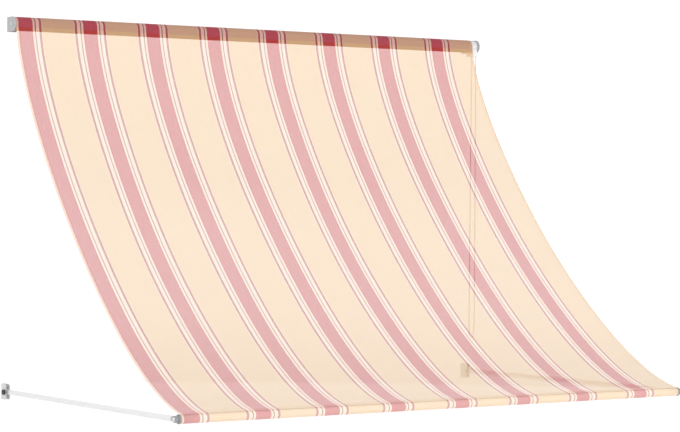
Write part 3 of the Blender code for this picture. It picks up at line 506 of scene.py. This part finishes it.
def tube(name, path, radius, sides, repeat):
    """A round tube along a path in a plane X = constant, mapped round and along, and its length."""
    solid = bmesh.new()
    uv = solid.loops.layers.uv.new("tube")
    side = Vector((1, 0, 0))
    distances = distances_along(path)
    rings = []
    for index, point in enumerate(path):
        ahead = path[min(index + 1, len(path) - 1)] - path[max(index - 1, 0)]
        normal = ahead.normalized().cross(side)
        ring = []
        for step in range(sides):
            angle = 2 * math.pi * step / sides
            outward = side * math.cos(angle) + normal * math.sin(angle)
            ring.append(solid.verts.new(point + outward * radius))
        rings.append(ring)
    closed = [ring + ring[:1] for ring in rings]
    lay_grid(solid, closed, uv, lambda row, column: (column / sides, distances[row] / repeat))
    solid.faces.new(list(reversed(rings[0])))
    solid.faces.new(rings[-1])
    bmesh.ops.recalc_face_normals(solid, faces=solid.faces)
    return as_piece(name, solid), distances[-1]


def make_cord():
    route = [Vector((CORD_X, ROLLER_AXIS.y - out, up)) for out, up in CORD_ROUTE]
    path = smooth_route(route, CORD_RINGS)
    piece, length = tube("braided_cord", path, CORD_DIAMETER / 2, CORD_SIDES, BRAID_REPEAT)
    piece.data.materials.append(braid("cord_braid"))
    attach(piece, "wall_frame")
    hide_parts("operating_cord")


def drape_line():
    """Middle line of the hanging cloth as (out, up): a lap over the roll, the sag, a lap on the hem."""
    top = math.radians(DRAPE_TOP_DEG)
    foot = math.radians(DRAPE_FOOT_DEG)
    roller_radius = ROLLER_TUBE_RADIUS + GAP + WIND_PITCH * ROLLER_TURNS + CLOTH_THICK
    hem_radius = BAR_RADIUS + GAP + WIND_PITCH * HEM_TURNS + CLOTH_THICK
    roll = roller_radius + GAP + CLOTH_THICK / 2
    hem = hem_radius + GAP + CLOTH_THICK / 2
    roll_centre = Vector((-ROLLER_AXIS.y, ROLLER_AXIS.z))
    bar_centre = Vector((-BAR_AXIS.y, BAR_AXIS.z))
    leaves = roll_centre + Vector((math.cos(top), math.sin(top))) * roll
    meets = bar_centre + Vector((math.sin(foot), math.cos(foot))) * hem
    line = []
    for step in range(LAP_ROWS):
        back = math.radians(LAP_DEG) * (1 - step / LAP_ROWS)
        line.append(roll_centre + Matrix.Rotation(back, 2) @ (leaves - roll_centre))
    pull_down = leaves + Vector((math.sin(top), -math.cos(top))) * DRAPE_TOP_PULL
    pull_back = meets - Vector((math.cos(foot), -math.sin(foot))) * DRAPE_FOOT_PULL
    for step in range(SAG_ROWS + 1):
        t = step / SAG_ROWS
        s = 1 - t
        upper = leaves * s**3 + pull_down * (3 * s * s * t)
        lower = pull_back * (3 * s * t * t) + meets * t**3
        line.append(upper + lower)
    for step in range(1, HEM_LAP_ROWS + 1):
        onward = -math.radians(HEM_LAP_DEG) * step / HEM_LAP_ROWS
        line.append(bar_centre + Matrix.Rotation(onward, 2) @ (meets - bar_centre))
    return line


def wound_line(centre, inner, turns, end_deg):
    """Middle line of cloth wound on a tube as (out, up), ending on its outermost turn at end_deg."""
    count = round(turns * WIND_STEPS)
    line = []
    for step in range(count + 1):
        share = step / count
        angle = math.radians(end_deg) + 2 * math.pi * turns * (1 - share)
        radius = inner + CLOTH_THICK / 2 + WIND_PITCH * turns * share
        line.append(Vector((-centre.y, centre.z)) + Vector((math.cos(angle), math.sin(angle))) * radius)
    return line


def distances_along(line):
    found = [0.0]
    for before, here in zip(line, line[1:]):
        found.append(found[-1] + (here - before).length)
    return found


def normals_along(line):
    """Unit normals of a line of (out, up), on the side that faces up and away from the wall."""
    found = []
    for index in range(len(line)):
        ahead = line[min(index + 1, len(line) - 1)] - line[max(index - 1, 0)]
        found.append(Vector((-ahead.y, ahead.x)).normalized())
    return found


def cross_section(half_width, columns=150):
    """Across the cloth as (x, depth under its face, flat x): a hem folded under at each side edge."""
    side = []
    for step in range(HEM_COLUMNS + 1):
        inward = SIDE_HEM_WIDTH * (1 - step / HEM_COLUMNS)
        side.append((-half_width + inward, SIDE_HEM_DEPTH * 2, -half_width - inward))
    for step in range(1, 6):
        angle = math.pi * step / 6
        x = -half_width + SIDE_HEM_DEPTH * (1 - math.sin(angle))
        side.append((x, SIDE_HEM_DEPTH * (1 + math.cos(angle)), -half_width))
    start = -half_width + SIDE_HEM_DEPTH
    middle = [start - 2 * start * step / columns for step in range(columns + 1)]
    across = side + [(x, 0.0, x) for x in middle]
    across += [(-x, depth, -flat) for x, depth, flat in reversed(side)]
    return across


def billow(x, share):
    """Slight waves of the hanging cloth, none at the roller and the bar."""
    hold = math.sin(math.pi * min(max(share, 0.0), 1.0)) ** 1.5
    wave = 0.0030 * math.sin(2 * math.pi * x / 0.93 + 0.7) * math.sin(2 * math.pi * share * 1.3 + 0.4)
    wave += 0.0014 * math.sin(2 * math.pi * x / 0.41 + 2.1 + 3.0 * share)
    return hold * wave


def cloth_sheet(name, line, half_width):
    """Sweeps the hanging line across, with folded side hems, slight waves and sewn stitches."""
    sheet = bmesh.new()
    uv = sheet.loops.layers.uv.new("cloth")
    distances = distances_along(line)
    normals = normals_along(line)
    across = cross_section(half_width)

    def point(x, depth, row):
        lift = billow(x, distances[row] / distances[-1]) - depth
        at = line[row] + normals[row] * lift
        return Vector((x, -at.x, at.y))

    grid = []
    for row in range(len(line)):
        grid.append([sheet.verts.new(point(x, depth, row)) for x, depth, _ in across])
    lay_grid(sheet, grid, uv, lambda row, column: (across[column][2], distances[row]))
    columns = len(across) - 1
    for number, face in enumerate(sheet.faces):
        row, column = divmod(number, columns)
        if row < LAP_ROWS + NEAR_ROWS:
            face.material_index = OVER_ROLL_SLOT
        elif row < LAP_ROWS + 2 * NEAR_ROWS:
            face.material_index = BELOW_ROLL_SLOT
        elif row >= len(line) - 1 - HEM_LAP_ROWS - NEAR_ROWS:
            face.material_index = OVER_BAR_SLOT
        elif min(column, columns - 1 - column) < HEM_COLUMNS:
            face.material_index = UNDER_SLOT
    sew(sheet, line, distances, normals, half_width)
    sheet.normal_update()
    return as_piece(name, sheet)


def sew(sheet, line, distances, normals, half_width):
    """Two rows of stitches along each side hem."""
    total = distances[-1]
    for inset in STITCH_INSETS:
        for x in (-half_width + inset, half_width - inset):
            along = STITCH_PITCH
            row = 0
            while along < total - STITCH_PITCH:
                while distances[row + 1] < along:
                    row += 1
                share = (along - distances[row]) / (distances[row + 1] - distances[row])
                middle = line[row].lerp(line[row + 1], share)
                normal = normals[row].lerp(normals[row + 1], share).normalized()
                lift = billow(x, along / total)
                ahead = Vector((normal.y, -normal.x))
                stitch(sheet, x, middle + normal * lift, ahead, normal)
                along += STITCH_PITCH


def stitch(sheet, x, middle, ahead, normal):
    """One stitch: a low bridge of thread whose ends dip into the cloth."""
    half = STITCH_WIDTH / 2
    rings = []
    for share, height in STITCH_STATIONS:
        at = middle + ahead * (share * STITCH_LENGTH)
        ring = []
        for offset, raise_by in ((-half, 0.0), (0.0, STITCH_CROWN), (half, 0.0)):
            place = at + normal * (height + raise_by)
            ring.append(sheet.verts.new((x + offset, -place.x, place.y)))
        rings.append(ring)
    for before, after in zip(rings, rings[1:]):
        for index in range(2):
            face = sheet.faces.new((before[index], before[index + 1], after[index + 1], after[index]))
            face.material_index = THREAD_SLOT
            face.smooth = True


def wound_cloth(name, line, half_width, start_length):
    """Cloth wound on a tube, as one thick ribbon whose layers show at its ends."""
    ribbon = bmesh.new()
    uv = ribbon.loops.layers.uv.new("cloth")
    distances = [start_length + along for along in distances_along(line)]
    xs = [-half_width + 2 * half_width * step / WOUND_COLUMNS for step in range(WOUND_COLUMNS + 1)]
    grid = [[ribbon.verts.new((x, -at.x, at.y)) for x in xs] for at in line]
    lay_grid(ribbon, grid, uv, lambda row, column: (xs[column], distances[row]))
    piece = as_piece(name, ribbon)
    shell = piece.modifiers.new("Thickness", "SOLIDIFY")
    shell.thickness = CLOTH_THICK
    shell.offset = 0
    return piece


def make_cloth():
    line = drape_line()
    length = distances_along(line)[-1]
    drape = cloth_sheet("awning_sheet", line, HALF_CLOTH)
    # The cloth wound on the roller, and the rows just below it, is darkened over a deep red-brown:
    # painted shade of the roll.
    on_roller = striped_cloth("cloth_on_roller_painted_shade", 0.57, (0.11, 0.0, 0.0), sheen=0.05)
    on_bar = striped_cloth("cloth_on_bar", 0.68, (0.90, 0.88, 0.85), sheen=0.05)
    finishes = (
        striped_cloth("cloth_hanging", 1.0, (0.9, 0.9, 0.9), alpha=HANGING_ALPHA),
        thread("hem_thread"),
        striped_cloth("cloth_folded_under", 0.55, (0.80, 0.74, 0.66), alpha=UNDER_ALPHA),
        # The opaque rows lapped over the roll are darkened the same way: painted shade.
        striped_cloth("cloth_over_roller_painted_shade", 0.45, (0.15, 0.03, 0.065), sheen=0.05),
        on_roller,
        on_bar,
    )
    for finish in finishes:
        drape.data.materials.append(finish)
    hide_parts("awning_cloth")
    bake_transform(drape)

    roll_line = wound_line(ROLLER_AXIS, ROLLER_TUBE_RADIUS + GAP, ROLLER_TURNS, DRAPE_TOP_DEG)
    roll_length = distances_along(roll_line)[-1]
    roll = wound_cloth("wound_roll", roll_line, HALF_CLOTH, -roll_length)
    roll.data.materials.append(on_roller)
    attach(roll, "roller")
    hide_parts("cloth_roll")

    hem_end = 90 - DRAPE_FOOT_DEG - HEM_LAP_DEG
    hem_line = wound_line(BAR_AXIS, BAR_RADIUS + GAP, HEM_TURNS, hem_end)
    hem = wound_cloth("wound_hem", hem_line, HALF_CLOTH, length)
    hem.data.materials.append(on_bar)
    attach(hem, "arms")
    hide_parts("hem_sleeve")


def soften(node):
    """A small bevel so that hard edges catch the light."""
    edge = frame["nodes"][node].modifiers.new("Edge", "BEVEL")
    edge.width = EDGE_BEVEL
    edge.segments = 2
    edge.limit_method = "ANGLE"
    edge.angle_limit = math.radians(40)
    edge.harden_normals = False


def dress(finish, *nodes):
    for node in nodes:
        piece = frame["nodes"][node]
        piece.data.materials.clear()
        piece.data.materials.append(finish)


def dress_nodes():
    paint = powder_coat("bracket_powder_coat", BRACKET_PAINT)
    # Same paint as the upper brackets, made paler: painted light.
    lightened_channel_paint = powder_coat("channel_powder_coat_painted_light", CHANNEL_PAINT_LIGHTENED)
    arm_paint = powder_coat("arm_powder_coat", ARM_PAINT)
    steel = zinc_plate("zinc_plate")
    black = moulded("black_plastic", BLACK_PLASTIC, 0.38, 0.56)
    white = moulded("white_plastic", WHITE_PLASTIC, 0.30, 0.42)
    grey = moulded("grey_plastic", GREY_PLASTIC, 0.36, 0.52)
    dress(paint, "upper_bracket_left", "upper_bracket_right")
    dress(lightened_channel_paint, "lower_bracket_left", "lower_bracket_right")
    dress(arm_paint, "arm_left", "arm_right", "front_bar")
    for bracket in BRACKETS:
        soften(bracket)
    dress(cast_grey("cast_grey"), "arm_foot_left", "arm_foot_right")
    dress(steel, "roller_tube", "idle_pin", "housing_screw_1", "housing_screw_2")
    dress(steel, "pivot_bolt_left", "pivot_bolt_right", "bar_bolt_left", "bar_bolt_right")
    dress(white, "drive_housing", "drive_pulley")
    dress(black, "roller_plug_left", "roller_plug_right")
    dress(grey, "bar_corner_left", "bar_corner_right")
    dress(black, "clamp_knob_left", "clamp_knob_right")
    for word in ("left_inner", "left_outer", "right_inner", "right_outer"):
        dress(black, f"washer_{word}")


def make_stage():
    """A pale floor that rises far out into a bowl, so that every view has the same quiet background."""
    bowl = bmesh.new()
    rings = []
    for radius, height in BOWL_RINGS:
        ring = []
        for step in range(BOWL_SIDES):
            angle = 2 * math.pi * step / BOWL_SIDES
            ring.append(bowl.verts.new((radius * math.cos(angle), radius * math.sin(angle), height)))
        rings.append(ring)
    bowl.faces.new(rings[0])
    for low, high in zip(rings, rings[1:]):
        for step in range(BOWL_SIDES):
            after = (step + 1) % BOWL_SIDES
            bowl.faces.new((low[step], low[after], high[after], high[step])).smooth = True
    mesh = bpy.data.meshes.new("floor")
    bowl.to_mesh(mesh)
    bowl.free()
    floor = bpy.data.objects.new("floor", mesh)
    bpy.context.scene.collection.objects.link(floor)
    floor.location = (0, 0, FLOOR_HEIGHT)
    nodes = Nodes("floor")
    at = nodes.place()
    tone = nodes.span(nodes.noise(0.4, 2.0, at), 0.3, 0.7, 0.0, 1.0)
    nodes.set(Base_Color=nodes.mix(tone, (0.90, 0.90, 0.90), (0.88, 0.88, 0.885)), Roughness=0.9)
    far = nodes.add("ShaderNodeVectorMath", operation="LENGTH")
    nodes.link(at, far.inputs[0])
    begins = nodes.span(far.outputs["Value"], 15.0, 18.5, 0.0, RIM_GLOW)
    ends = nodes.span(far.outputs["Value"], 27.0, 33.0, 1.0, 0.0)
    glow = nodes.math("ADD", nodes.math("MULTIPLY", begins, ends), FLOOR_GLOW)
    nodes.set(Specular_IOR_Level=0.1, Emission_Color=(1.0, 1.0, 1.0, 1.0), Emission_Strength=glow)
    floor.data.materials.append(nodes.material)


def area_light(name, place, size, power, colour):
    data = bpy.data.lights.new(name, "AREA")
    data.shape = "RECTANGLE"
    data.size, data.size_y = size
    data.energy = power
    data.color = colour
    lamp = bpy.data.objects.new(name, data)
    bpy.context.scene.collection.objects.link(lamp)
    lamp.location = place
    lamp.rotation_mode = "QUATERNION"
    lamp.rotation_quaternion = (Vector(LIGHT_TARGET) - Vector(place)).to_track_quat("-Z", "Y")


def make_light():
    world = bpy.data.worlds.new("studio")
    bpy.context.scene.world = world
    world.use_nodes = True
    sky = world.node_tree.nodes["Background"]
    sky.inputs["Color"].default_value = (1.0, 1.0, 1.0, 1.0)
    sky.inputs["Strength"].default_value = SKY_STRENGTH
    for settings in LIGHTS:
        area_light(*settings)
    bpy.context.scene.view_settings.view_transform = "Standard"


make_camera()
make_cord()
make_cloth()
dress_nodes()
make_stage()
make_light()
